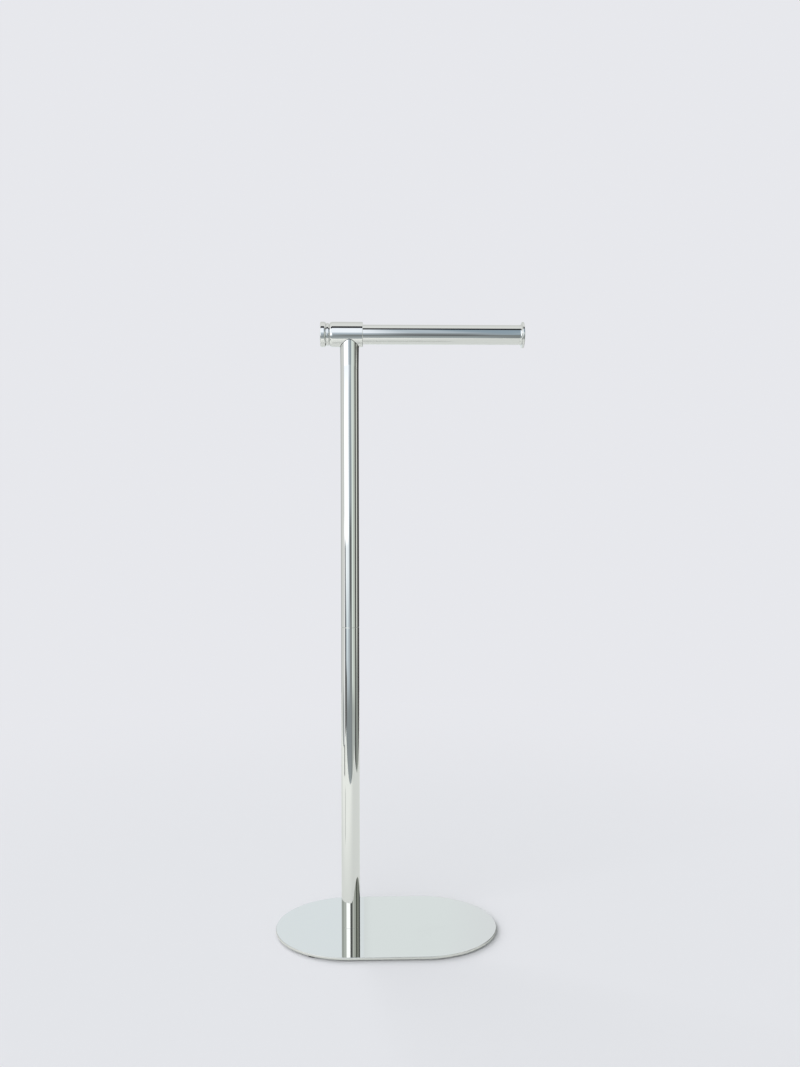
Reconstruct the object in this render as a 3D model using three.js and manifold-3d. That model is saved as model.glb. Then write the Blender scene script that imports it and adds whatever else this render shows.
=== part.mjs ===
// Freestanding toilet paper holder in polished metal.
// A flat base plate carries a two-piece pole. A tee sleeve on top of the pole
// holds a horizontal arm, with a turned finial on one end and a flared cap on the other.
// Millimetres, +Z up. The origin is the middle of the whole outline from above, on the floor.

import * as THREE from 'three';
import { mergeVertices } from 'three/addons/utils/BufferGeometryUtils.js';
import Module from 'manifold-3d';

const wasm = await Module();
wasm.setup();

// Base plate: a flat stadium outline with rounded edges
const plate_length = 229;
const plate_width = 155;
const plate_thick = 2.5;
const plate_edge_round = 0.7;

// Four rubber feet, stuck under the plate's round ends. The front left one is nearer the edge.
const foot_diameter = 10;
const foot_thick = 1.7;
const foot_edge_chamfer = 0.3;
const foot_setback = 5;
const front_left_foot_setback = 1.4;
const foot_bearing = 60;

// Pole: two tubes of one section, off the middle of the plate
const pole_offset = 37;
const pole_diameter = 19;
const pole_wall = 1.2;
const lower_tube_length = 311.3;
const upper_tube_reach = 302;
const tube_end_chamfer = 0.35;

// Threaded inserts pressed into the tube ends
const foot_insert_length = 22;
const joint_insert_length = 18;
const top_plug_length = 18;
const insert_chamfer = 0.8;
const insert_setback = 0.3;

// Screw that holds the pole on the plate, from below
const base_screw_diameter = 6;
const base_screw_head = 11.4;
const base_screw_length = 18;

// Headless stud that joins the two tubes
const joint_stud_diameter = 8;
const joint_stud_length = 30;
const stud_point_chamfer = 0.8;

// Tee sleeve on top of the pole
const sleeve_left = 20.5;
const sleeve_right = 13.8;
const sleeve_wall = 2.6;
const sleeve_end_wall = 3.6;
const sleeve_shoulder_run = 3.4;
const sleeve_shoulder_drop = 2.3;
const sleeve_mouth_chamfer = 0.35;

// Screw inside the sleeve that pulls it down on the pole
const tee_screw_diameter = 5;
const tee_screw_head = 9;
const tee_screw_length = 15;
const tee_screw_sink = 0.2;

// Arm tube and the plug in its hidden end
const arm_diameter = 20.2;
const arm_wall = 1.2;
const arm_reach = 175.2;
const arm_plug_length = 16;

// Turned finial: domed disc with a full round at its back, groove, collar and neck
const finial_diameter = 26;
const finial_disc_thick = 5.9;
const finial_dome = 0.5;
const finial_edge_round = 0.9;
const finial_back_round = 2.2;
const finial_groove_width = 0.35;
const finial_groove_depth = 2.3;
const finial_collar_diameter = 23.4;
const finial_collar_length = 2.4;
const finial_collar_chamfer = 0.4;
const finial_neck_diameter = 20.8;
const finial_neck_length = 0.65;
const finial_face_wall = 2.4;

// Stud that clamps finial, sleeve and arm together
const finial_stud_diameter = 6;
const finial_stud_grip = 13;

// Flared cap that closes the free end of the arm
const cap_diameter = 26.8;
const cap_flare_length = 2.6;
const cap_rim_thick = 2.2;
const cap_rim_round = 0.7;
const cap_dome = 0.3;
const cap_spigot_length = 14;
const cap_spigot_chamfer = 0.8;

// Clearances
const press_gap = 0.15;
const slide_gap = 0.2;
const thread_gap = 0.2;
const screw_gap = 0.3;
const saddle_gap = 0.3;
const tip_gap = 1;
const overrun = 5;

// Facets
const pipe_sides = 48;
const turned_sides = 48;
const hole_sides = 24;
const plate_arc_steps = 20;
const plate_edge_steps = 3;
const curve_steps = 4;

// Levels and radii that follow from the sizes above
const plate_top = foot_thick + plate_thick;
const joint_level = plate_top + lower_tube_length;
const arm_level = joint_level + upper_tube_reach;
const pole_radius = pole_diameter / 2;
const pole_bore = pole_radius - pole_wall;
const arm_radius = arm_diameter / 2;
const arm_bore = arm_radius - arm_wall;
const sleeve_bore = arm_radius + slide_gap;
const sleeve_radius = sleeve_bore + sleeve_wall;
const sleeve_stop = sleeve_end_wall - sleeve_left;
const insert_radius = pole_bore - press_gap;
const finial_radius = finial_diameter / 2;
const finial_collar_radius = finial_collar_diameter / 2;
const finial_length = finial_disc_thick + finial_groove_width + finial_collar_length + finial_neck_length;
const finial_tap_depth = finial_length - finial_face_wall;
const cap_radius = cap_diameter / 2;
const left_end = pole_offset - plate_length / 2;
const right_end = arm_reach + cap_flare_length + cap_rim_thick + cap_dome;

const materials = {
  chrome: new THREE.MeshStandardMaterial({ color: 0xdadddb, metalness: 1, roughness: 0.06 }),
  steel: new THREE.MeshStandardMaterial({ color: 0xa9aaa8, metalness: 1, roughness: 0.35 }),
  brass: new THREE.MeshStandardMaterial({ color: 0xc2a25a, metalness: 1, roughness: 0.35 }),
  rubber: new THREE.MeshStandardMaterial({ color: 0x3a3b3c, metalness: 0, roughness: 0.9 }),
};

// A closed geometry as a solid that can be cut
function toSolid(geometry) {
  const bare = geometry.index ? geometry.clone() : geometry;
  bare.deleteAttribute('normal');
  bare.deleteAttribute('uv');
  const merged = mergeVertices(bare);
  const corners = merged.index.array;
  const triangles = [];
  for (let i = 0; i < corners.length; i += 3) {
    const [a, b, c] = [corners[i], corners[i + 1], corners[i + 2]];
    if (a !== b && b !== c && c !== a) triangles.push(a, b, c);
  }
  return new wasm.Manifold(new wasm.Mesh({
    numProp: 3,
    vertProperties: new Float32Array(merged.attributes.position.array),
    triVerts: new Uint32Array(triangles),
  }));
}

// A solid back as a geometry, with flat facets
function toGeometry(solid) {
  const mesh = solid.getMesh();
  const geometry = new THREE.BufferGeometry();
  geometry.setAttribute('position', new THREE.BufferAttribute(mesh.vertProperties, 3));
  geometry.setIndex(new THREE.BufferAttribute(mesh.triVerts, 1));
  geometry.computeVertexNormals();
  return geometry;
}

// A turned shape about Z. The profile holds radius and height, and runs upward on its outer side.
function turnUpright(profile, sides) {
  const geometry = new THREE.LatheGeometry(profile.getPoints(curve_steps), sides);
  return toSolid(geometry.rotateX(Math.PI / 2));
}

// The same about X, with the profile's height along +X
function turnAlongX(profile, sides) {
  const geometry = new THREE.LatheGeometry(profile.getPoints(curve_steps), sides);
  return toSolid(geometry.rotateZ(-Math.PI / 2));
}

function rodProfile(radius, from, to, chamfer) {
  return new THREE.Path()
    .moveTo(0, from)
    .lineTo(radius - chamfer, from)
    .lineTo(radius, from + chamfer)
    .lineTo(radius, to - chamfer)
    .lineTo(radius - chamfer, to)
    .lineTo(0, to);
}

// A plain round cutter
function drill(radius, from, to) {
  const profile = new THREE.Path()
    .moveTo(0, from)
    .lineTo(radius, from)
    .lineTo(radius, to)
    .lineTo(0, to);
  return turnUpright(profile, hole_sides);
}

function tubeProfile(radius, bore, from, to, startChamfer, endChamfer) {
  return new THREE.Path()
    .moveTo(bore, from)
    .lineTo(radius - startChamfer, from)
    .lineTo(radius, from + startChamfer)
    .lineTo(radius, to - endChamfer)
    .lineTo(radius - endChamfer, to)
    .lineTo(bore, to)
    .lineTo(bore, from);
}

// Stadium outline: a rectangle with half-round ends
function stadium(length, width) {
  const end = width / 2;
  const half = length / 2 - end;
  return new THREE.Shape()
    .absarc(half, 0, end, -Math.PI / 2, Math.PI / 2, false)
    .absarc(-half, 0, end, Math.PI / 2, 1.5 * Math.PI, false);
}

// Countersunk screw along Z, with the flat of its head at zero and its shank upward.
// A gap makes the cutter for its hole, which then runs past both faces.
function countersunk(shankDiameter, headDiameter, length, gap) {
  const shank = shankDiameter / 2 + gap;
  const head = headDiameter / 2 + gap;
  const cone = headDiameter / 2 - shankDiameter / 2;
  const profile = new THREE.Path().moveTo(0, gap > 0 ? -overrun : 0);
  if (gap > 0) profile.lineTo(head, -overrun);
  profile.lineTo(head, 0);
  profile.lineTo(shank, cone);
  profile.lineTo(shank, length);
  profile.lineTo(0, length);
  return turnUpright(profile, hole_sides);
}

function piece(name, solid, material) {
  const mesh = new THREE.Mesh(toGeometry(solid), materials[material]);
  mesh.name = name;
  return mesh;
}

// Base

function basePlate() {
  const outline = stadium(plate_length, plate_width);
  const slab = new THREE.ExtrudeGeometry(outline, {
    depth: plate_thick - 2 * plate_edge_round,
    curveSegments: plate_arc_steps,
    bevelThickness: plate_edge_round,
    bevelSize: plate_edge_round,
    bevelOffset: -plate_edge_round,
    bevelSegments: plate_edge_steps,
  });
  slab.translate(pole_offset, 0, plate_edge_round);
  const screwHole = countersunk(base_screw_diameter, base_screw_head, plate_thick + overrun, screw_gap);
  const plate = piece('base_plate', toSolid(slab).subtract(screwHole), 'chrome');
  plate.position.z = foot_thick;
  return plate;
}

// A foot's middle lies on a radius of the plate's round end. Each side is -1 or 1.
function foot(name, endSide, backSide, setback) {
  const radius = foot_diameter / 2;
  const profile = new THREE.Path()
    .moveTo(0, 0)
    .lineTo(radius - foot_edge_chamfer, 0)
    .lineTo(radius, foot_edge_chamfer)
    .lineTo(radius, foot_thick)
    .lineTo(0, foot_thick);
  const disc = piece(name, turnUpright(profile, hole_sides), 'rubber');
  const reach = plate_width / 2 - setback - radius;
  const along = plate_length / 2 - plate_width / 2 + reach * Math.cos(THREE.MathUtils.degToRad(foot_bearing));
  disc.position.x = pole_offset + endSide * along;
  disc.position.y = backSide * reach * Math.sin(THREE.MathUtils.degToRad(foot_bearing));
  return disc;
}

function baseScrew() {
  const solid = countersunk(base_screw_diameter, base_screw_head, base_screw_length, 0);
  const screw = piece('base_screw', solid, 'steel');
  screw.position.z = foot_thick;
  return screw;
}

// Pole

function lowerPoleTube() {
  const profile = tubeProfile(pole_radius, pole_bore, 0, lower_tube_length, 0, tube_end_chamfer);
  const tube = piece('lower_pole_tube', turnUpright(profile, pipe_sides), 'chrome');
  tube.position.z = plate_top;
  return tube;
}

// The top of this tube is coped to the round of the sleeve, so it ends in a saddle
function upperPoleTube() {
  const profile = tubeProfile(pole_radius, pole_bore, 0, upper_tube_reach, tube_end_chamfer, 0);
  const half = pole_radius + overrun;
  const around = sleeve_radius + saddle_gap;
  const cutter = turnAlongX(rodProfile(around, -half, half, 0), turned_sides);
  const saddle = cutter.translate([0, 0, upper_tube_reach]);
  const tube = piece('upper_pole_tube', turnUpright(profile, pipe_sides).subtract(saddle), 'chrome');
  tube.position.z = joint_level;
  return tube;
}

function footInsert() {
  const body = turnUpright(rodProfile(insert_radius, 0, foot_insert_length, insert_chamfer), pipe_sides);
  const depth = base_screw_length - plate_thick + tip_gap;
  const tapped = drill(base_screw_diameter / 2 + thread_gap, -overrun, depth);
  const insert = piece('foot_insert', body.subtract(tapped), 'steel');
  insert.position.z = plate_top;
  return insert;
}

function jointInsert(name, level) {
  const body = turnUpright(rodProfile(insert_radius, 0, joint_insert_length, insert_chamfer), pipe_sides);
  const tapped = drill(joint_stud_diameter / 2 + thread_gap, -overrun, joint_insert_length + overrun);
  const insert = piece(name, body.subtract(tapped), 'brass');
  insert.position.z = level;
  return insert;
}

function jointStud() {
  const half = joint_stud_length / 2;
  const profile = rodProfile(joint_stud_diameter / 2, -half, half, stud_point_chamfer);
  const stud = piece('joint_stud', turnUpright(profile, hole_sides), 'steel');
  stud.position.z = joint_level;
  return stud;
}

// Plug in the top of the pole, flat under the sleeve, tapped for the screw from above
function poleTopPlug() {
  const top = arm_level - sleeve_radius - saddle_gap;
  const body = turnUpright(rodProfile(insert_radius, -top_plug_length, 0, insert_chamfer), pipe_sides);
  const tip = arm_level - sleeve_bore - tee_screw_sink - tee_screw_length - tip_gap;
  const tapped = drill(tee_screw_diameter / 2 + thread_gap, tip - top, overrun);
  const plug = piece('pole_top_plug', body.subtract(tapped), 'brass');
  plug.position.z = top;
  return plug;
}

// Head

// A cup with a bore for the arm, closed on the finial's side by a pierced wall
function teeSleeve() {
  const shoulder = sleeve_radius - sleeve_shoulder_drop;
  const wallHole = finial_stud_diameter / 2 + screw_gap;
  const profile = new THREE.Path()
    .moveTo(wallHole, -sleeve_left)
    .lineTo(shoulder, -sleeve_left)
    .absellipse(
      shoulder, sleeve_shoulder_run - sleeve_left,
      sleeve_shoulder_drop, sleeve_shoulder_run,
      -Math.PI / 2, 0, false,
    )
    .lineTo(sleeve_radius, sleeve_right - sleeve_mouth_chamfer)
    .lineTo(sleeve_radius - sleeve_mouth_chamfer, sleeve_right)
    .lineTo(sleeve_bore, sleeve_right)
    .lineTo(sleeve_bore, sleeve_stop)
    .lineTo(wallHole, sleeve_stop)
    .lineTo(wallHole, -sleeve_left);
  const hole = countersunk(tee_screw_diameter, tee_screw_head, sleeve_wall + overrun, screw_gap)
    .rotate([180, 0, 0])
    .translate([0, 0, -sleeve_bore - tee_screw_sink]);
  return piece('tee_sleeve', turnAlongX(profile, turned_sides).subtract(hole), 'chrome');
}

function teeScrew() {
  const solid = countersunk(tee_screw_diameter, tee_screw_head, tee_screw_length, 0).rotate([180, 0, 0]);
  const screw = piece('tee_screw', solid, 'steel');
  screw.position.z = -sleeve_bore - tee_screw_sink;
  return screw;
}

function armTube() {
  const profile = tubeProfile(arm_radius, arm_bore, sleeve_stop, arm_reach, 0, 0);
  return piece('arm_tube', turnAlongX(profile, turned_sides), 'chrome');
}

function armPlug() {
  const from = sleeve_stop + insert_setback;
  const profile = rodProfile(arm_bore - press_gap, from, from + arm_plug_length, insert_chamfer);
  const tapped = drill(finial_stud_diameter / 2 + thread_gap, from - overrun, from + arm_plug_length + overrun)
    .rotate([0, 90, 0]);
  return piece('arm_plug', turnAlongX(profile, turned_sides).subtract(tapped), 'brass');
}

// Disc that rounds off into a fine groove, a collar with broken edges and a neck against the sleeve
function finial() {
  const neck = finial_neck_diameter / 2;
  const groove = finial_radius - finial_groove_depth;
  const face = finial_radius - finial_edge_round;
  const collar = finial_collar_radius - finial_collar_chamfer;
  const collarEnd = -finial_neck_length;
  const collarStart = collarEnd - finial_collar_length;
  const discBack = collarStart - finial_groove_width;
  const discFace = discBack - finial_disc_thick;
  const profile = new THREE.Path()
    .moveTo(0, discFace - finial_dome)
    .quadraticCurveTo(face / 2, discFace - finial_dome, face, discFace)
    .absellipse(
      face, discFace + finial_edge_round,
      finial_edge_round, finial_edge_round,
      -Math.PI / 2, 0, false,
    )
    .absellipse(
      groove, discBack - finial_back_round,
      finial_groove_depth, finial_back_round,
      0, Math.PI / 2, false,
    )
    .lineTo(groove, collarStart)
    .lineTo(collar, collarStart)
    .lineTo(finial_collar_radius, collarStart + finial_collar_chamfer)
    .lineTo(finial_collar_radius, collarEnd - finial_collar_chamfer)
    .lineTo(collar, collarEnd)
    .lineTo(neck, collarEnd)
    .lineTo(neck, 0)
    .lineTo(0, 0);
  const tapped = drill(finial_stud_diameter / 2 + thread_gap, -finial_tap_depth, overrun)
    .rotate([0, 90, 0]);
  const knob = piece('finial', turnAlongX(profile, turned_sides).subtract(tapped), 'chrome');
  knob.position.x = -sleeve_left;
  return knob;
}

function finialStud() {
  const seat = tip_gap - finial_tap_depth - sleeve_left;
  const end = sleeve_stop + finial_stud_grip;
  const profile = rodProfile(finial_stud_diameter / 2, seat, end, stud_point_chamfer);
  return piece('finial_stud', turnAlongX(profile, hole_sides), 'steel');
}

// The flare sweeps out of the arm's own diameter and ends in a thin rim with a domed face
function armEndCap() {
  const spigot = arm_bore - press_gap;
  const rim = cap_radius - cap_rim_round;
  const end = cap_flare_length + cap_rim_thick;
  const profile = new THREE.Path()
    .moveTo(0, -cap_spigot_length)
    .lineTo(spigot - cap_spigot_chamfer, -cap_spigot_length)
    .lineTo(spigot, cap_spigot_chamfer - cap_spigot_length)
    .lineTo(spigot, 0)
    .lineTo(arm_radius, 0)
    .quadraticCurveTo(arm_radius, cap_flare_length, rim, cap_flare_length)
    .absellipse(rim, cap_flare_length + cap_rim_round, cap_rim_round, cap_rim_round, -Math.PI / 2, 0, false)
    .absellipse(rim, end - cap_rim_round, cap_rim_round, cap_rim_round, 0, Math.PI / 2, false)
    .quadraticCurveTo(rim / 2, end + cap_dome, 0, end + cap_dome);
  const cap = piece('arm_end_cap', turnAlongX(profile, turned_sides), 'chrome');
  cap.position.x = arm_reach;
  return cap;
}

const base = new THREE.Group();
base.add(
  basePlate(),
  foot('front_left_foot', -1, -1, front_left_foot_setback),
  foot('front_right_foot', 1, -1, foot_setback),
  foot('back_left_foot', -1, 1, foot_setback),
  foot('back_right_foot', 1, 1, foot_setback),
  baseScrew(),
);

const pole = new THREE.Group();
pole.add(
  footInsert(),
  lowerPoleTube(),
  jointInsert('lower_joint_insert', joint_level - insert_setback - joint_insert_length),
  jointStud(),
  jointInsert('upper_joint_insert', joint_level + insert_setback),
  upperPoleTube(),
  poleTopPlug(),
);

const head = new THREE.Group();
head.position.z = arm_level;
head.add(teeSleeve(), teeScrew(), finial(), finialStud(), armPlug(), armTube(), armEndCap());

// The groups are laid out about the pole, so they move until the two ends are as far from the origin
const holder = new THREE.Group();
holder.position.x = -(left_end + right_end) / 2;
holder.add(base, pole, head);

export default holder;
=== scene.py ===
# %% [markdown]
# # A freestanding toilet paper holder in polished chrome
#
# The object is a mirror-bright stand: a flat plate on the floor, a round pole in two tubes, a
# sleeve on top of the pole, and a level arm with a turned finial at one end and a flared cap at
# the other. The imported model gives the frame, so that every piece made here already has its place.

# %% Load the frame
import math
import bmesh
import bpy
from mathutils import Matrix, Vector


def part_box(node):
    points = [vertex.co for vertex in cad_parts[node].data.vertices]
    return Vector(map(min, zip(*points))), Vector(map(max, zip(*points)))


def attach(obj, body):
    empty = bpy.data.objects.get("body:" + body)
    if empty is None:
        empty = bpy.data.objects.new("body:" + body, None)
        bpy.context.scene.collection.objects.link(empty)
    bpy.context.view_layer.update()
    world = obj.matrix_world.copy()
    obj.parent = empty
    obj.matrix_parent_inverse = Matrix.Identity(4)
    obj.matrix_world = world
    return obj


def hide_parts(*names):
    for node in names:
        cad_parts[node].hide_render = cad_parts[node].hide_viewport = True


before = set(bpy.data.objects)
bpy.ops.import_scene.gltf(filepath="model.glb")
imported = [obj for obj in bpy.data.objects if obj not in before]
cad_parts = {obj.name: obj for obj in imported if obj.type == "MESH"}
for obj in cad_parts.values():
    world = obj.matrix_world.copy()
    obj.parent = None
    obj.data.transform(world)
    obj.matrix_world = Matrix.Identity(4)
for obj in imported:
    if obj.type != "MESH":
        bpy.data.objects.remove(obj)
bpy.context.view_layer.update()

print("nodes in the frame:", len(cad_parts))

# %% [markdown]
# ## Where things are
#
# A few levels and axes carry the whole object: the floor, the top of the plate, the line where
# the two tubes meet, and the middle of the arm. They could be typed in, but measuring them on the
# CAD nodes keeps the two models together, so they are read from the frame's own boxes. Outlines
# are in millimetres: heights from the floor, and places along the arm from the pole's axis.

# %% Levels and axes
MM = 0.001


def span(node, axis):
    """Where a CAD node starts and ends along an axis, in metres."""
    low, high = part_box(node)
    return low[axis], high[axis]


pole_axis = sum(span("lower_pole_tube", 0)) / 2
arm_level = sum(span("arm_tube", 2)) / 2


def levels(node):
    """Its bottom and top, in millimetres from the floor."""
    return [v / MM for v in span(node, 2)]


def along_arm(node):
    """Its two ends, in millimetres from the pole's axis."""
    return [(v - pole_axis) / MM for v in span(node, 0)]


def radius_of(node):
    """Half the depth of a round node, in millimetres."""
    near, far = span(node, 1)
    return (far - near) / 2 / MM


pole_radius, arm_radius, sleeve_radius = map(radius_of, ("lower_pole_tube", "arm_tube", "tee_sleeve"))
plate_bottom, plate_top = levels("base_plate")
joint_level = levels("lower_pole_tube")[1]
print("pole axis and arm level in m:", round(pole_axis, 5), round(arm_level, 5))
print("radii of pole, arm and sleeve in mm:", [round(v, 2) for v in (pole_radius, arm_radius, sleeve_radius)])

# %% [markdown]
# ## Outlines for turned pieces
#
# Nearly every piece is turned or tubular: one outline swept round an axis. An outline is a list of
# corners (radius, height), in millimetres. Real edges are never perfectly sharp, and on chrome the
# tiny round on an edge is what catches the light, so a corner can carry a fillet radius. A point
# close to each fillet keeps the long straight runs truly straight in the reflections. Tags on the
# points say where a thread, a hexagon socket, the coped saddle or the lip along it is wanted.

# %% Outline helpers
FILLET_STEPS = 5
HOLD = 0.25
RINGS_PER_TURN = 9
LEAST_RINGS = 8


def corner(radius, height, fillet=0.0, thread=0.0, hexagon=0.0, cope=0.0, lip=0.0):
    return {"at": Vector((radius, height)), "fillet": fillet, "tags": (thread, hexagon, cope, lip * MM)}


def rounded(corners, closed):
    """The outline as (radius, height, tags), with fillets as arcs and holding points beside them."""
    points = []
    count = len(corners)
    for k, c in enumerate(corners):
        at, fillet, tags = c["at"], c["fillet"], c["tags"]
        if fillet <= 0 or (not closed and k in (0, count - 1)):
            points.append((at, tags))
            continue
        back, on = corners[k - 1]["at"] - at, corners[(k + 1) % count]["at"] - at
        half = back.angle(on) / 2
        reach = fillet / math.tan(half)
        middle = at + (back.normalized() + on.normalized()).normalized() * (fillet / math.sin(half))
        a, b = (at + way.normalized() * reach - middle for way in (back, on))
        turn = a.angle_signed(b)
        if back.length > 2 * (reach + HOLD):
            points.append((at + back.normalized() * (reach + HOLD), tags))
        for s in range(FILLET_STEPS + 1):
            t = -turn * s / FILLET_STEPS
            swung = (a.x * math.cos(t) - a.y * math.sin(t), a.x * math.sin(t) + a.y * math.cos(t))
            points.append((middle + Vector(swung), tags))
        if on.length > 2 * (reach + HOLD):
            points.append((at + on.normalized() * (reach + HOLD), tags))
    if closed:
        points.append(points[0])
    return [(p.x, p.y, tags) for p, tags in points]


def arc(centre, radii, start, end, steps):
    """Points on an ellipse in the outline, from one angle to another, in degrees."""
    made = []
    for s in range(steps + 1):
        t = math.radians(start + (end - start) * s / steps)
        made.append(corner(centre[0] + radii[0] * math.cos(t), centre[1] + radii[1] * math.sin(t)))
    return made


def quadratic(p, q, r, steps):
    """Points on a quadratic curve from p towards q and into r."""
    made = []
    for s in range(steps + 1):
        t = s / steps
        weights = ((1 - t) ** 2, 2 * t * (1 - t), t * t)
        made.append(corner(*(sum(w * v[i] for w, v in zip(weights, (p, q, r))) for i in (0, 1))))
    return made


def threaded(radius, start, end, pitch, runout=1.0):
    """A straight run with rings close enough for a thread, which fades out over the runout."""
    steps = max(LEAST_RINGS, int(abs(end - start) / pitch * RINGS_PER_TURN))
    made = []
    for s in range(steps + 1):
        h = start + (end - start) * s / steps
        fade = min(1.0, abs(h - start) / (runout * pitch), abs(h - end) / (runout * pitch))
        made.append(corner(radius, h, thread=fade))
    return made


print("outline helpers ready")

# %% [markdown]
# ## Building node trees
#
# Shapes and finishes below are node trees, built in the script. Placing each node and drawing each
# link by hand would take many lines, so a few helpers do it: one adds a node with its settings and
# inputs, one writes sums as Math nodes, and one makes a group with named sockets. An input may be
# a socket, which is linked, or a plain value, which is set.

# %% Helpers for node trees
def feed(node, inputs):
    """Each input gets a socket, which is linked, or a plain value."""
    for key, value in inputs.items():
        if isinstance(value, bpy.types.NodeSocket):
            node.id_data.links.new(value, node.inputs[key])
        else:
            node.inputs[key].default_value = value


def add_node(tree, kind, inputs=None, **settings):
    """A node whose settings are made first, because some of them change its inputs."""
    node = tree.nodes.new(kind)
    for name, value in settings.items():
        setattr(node, name, value)
    feed(node, inputs or {})
    return node


def maths(operation, *values):
    """A Math node, in the tree of the sockets among its values."""
    tree = next(v.id_data for v in values if isinstance(v, bpy.types.NodeSocket))
    return add_node(tree, "ShaderNodeMath", dict(enumerate(values)), operation=operation).outputs[0]


def plus(a, b):
    return maths("ADD", a, b)


def minus(a, b):
    return maths("SUBTRACT", a, b)


def times(a, b):
    return maths("MULTIPLY", a, b)


def over(a, b):
    return maths("DIVIDE", a, b)


def distance(a, b):
    return maths("SQRT", plus(maths("POWER", a, 2), maths("POWER", b, 2)))


def split(vector):
    """The three parts of a vector."""
    return add_node(vector.id_data, "ShaderNodeSeparateXYZ", {0: vector}).outputs


def new_group(kind, name, inputs, outputs):
    """A node group. Each socket is a name, a type and, where it has one, a value."""
    tree = bpy.data.node_groups.new(name, kind)
    for side, rows in (("INPUT", inputs), ("OUTPUT", outputs)):
        for label, socket, *value in rows:
            made = tree.interface.new_socket(name=label, in_out=side, socket_type="NodeSocket" + socket)
            if value:
                made.default_value = value[0]
    return tree, add_node(tree, "NodeGroupInput").outputs, add_node(tree, "NodeGroupOutput")


print("node helpers ready")

# %% [markdown]
# ## One tree for all turned pieces
#
# On a lathe a single rule makes every shape: the outline goes round the axis. Spin or Screw could
# do it, but a Geometry Nodes tree can also add what a rule describes: the helix of a thread, the
# flats of a hexagon socket, and the saddle where the pole meets the sleeve. The tree lays out a
# grid, sends each of its points to the outline's point at the same count, and turns it by its
# share of the circle. Outer and inner threads use the same rule, so that they lie in each other.

# %% What each tag does to the radius or the height
CREST_SHARE, SLOPE_SHARE = 0.13, 0.72
SIDE_LIP_SHARE = 0.2


def thread_cut(radius, height, angle, given, tag):
    """The helix climbs by one pitch in a turn."""
    turn = minus(over(height, given["Thread Pitch"]), over(angle, 2 * math.pi))
    ridge = times(maths("PINGPONG", turn, 0.5), 2)
    ridge = over(minus(ridge, CREST_SHARE), SLOPE_SHARE)
    ridge = maths("MINIMUM", maths("MAXIMUM", ridge, 0), 1)
    return minus(radius, times(times(ridge, given["Thread Depth"]), tag))


def hexagon_stretch(radius, angle, tag):
    """A circle within the flats, stretched out to them and their corners."""
    from_flat = minus(maths("FLOORED_MODULO", angle, math.radians(60)), math.radians(30))
    stretch = minus(over(1, maths("COSINE", from_flat)), 1)
    return times(radius, plus(1, times(stretch, tag)))


def lip_swell(radius, angle, tag):
    """The lip is widest at the front and the back."""
    frontal = maths("POWER", maths("SINE", angle), 2)
    share = plus(times(frontal, 1 - SIDE_LIP_SHARE), SIDE_LIP_SHARE)
    return plus(radius, times(share, tag))


def saddle_dip(height, sideways, given, tag):
    """From the sleeve's axis down to its round."""
    dip = minus(maths("POWER", given["Saddle Radius"], 2), maths("POWER", sideways, 2))
    return minus(height, times(maths("SQRT", maths("MAXIMUM", dip, 0)), tag))


print("a thread's crest and slope take", CREST_SHARE, "and", SLOPE_SHARE, "of half its pitch")

# %% The tree for turned pieces
SHARP_ANGLE = math.radians(28)
SAME_POINT = 0.0002 * MM


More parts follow.
